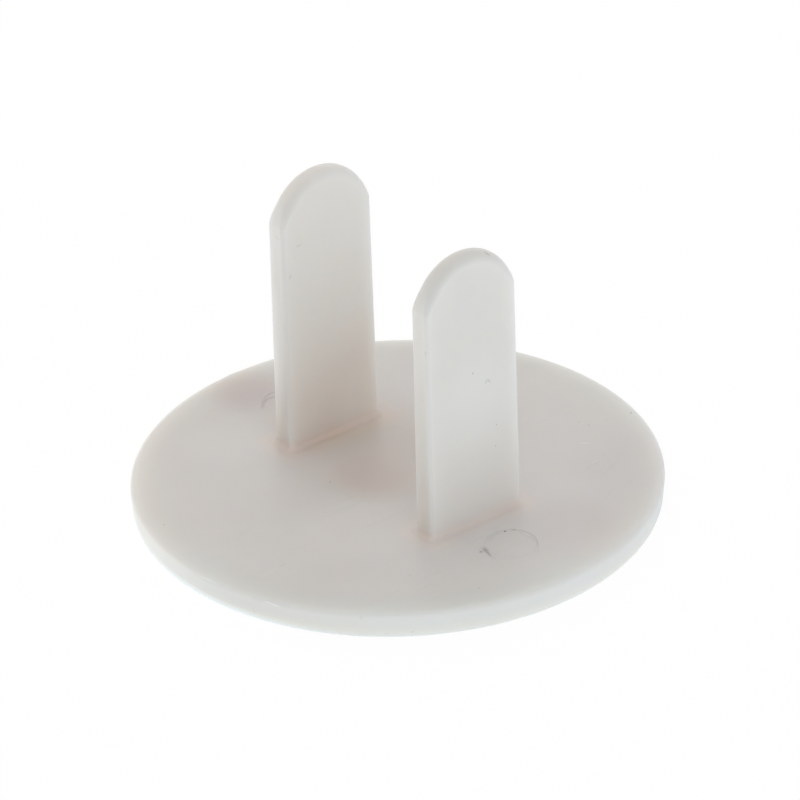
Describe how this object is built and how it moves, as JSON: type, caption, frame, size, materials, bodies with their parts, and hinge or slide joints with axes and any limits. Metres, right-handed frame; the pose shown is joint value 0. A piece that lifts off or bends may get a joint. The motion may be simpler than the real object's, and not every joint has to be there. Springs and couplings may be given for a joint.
{
  "type": "outlet safety cover",
  "caption": "Round flat disc with a pair of parallel flat blades, pushed into an unused two-slot wall socket to close it off.",
  "frame": {"origin": "middle of the disc's outer face, the flat face that shows when the cover is in a socket and that it lies on here", "axes": "+Z from the outer face towards the blade tips, +X from one blade to the other, +Y along the blades' width"},
  "size_m": [0.0296, 0.0296, 0.0183],
  "materials": {
    "moulded_plastic": "satin white, slightly translucent"
  },
  "bodies": {
    "root": {"outlet_cover": "moulded_plastic"}
  },
  "joints": []
}
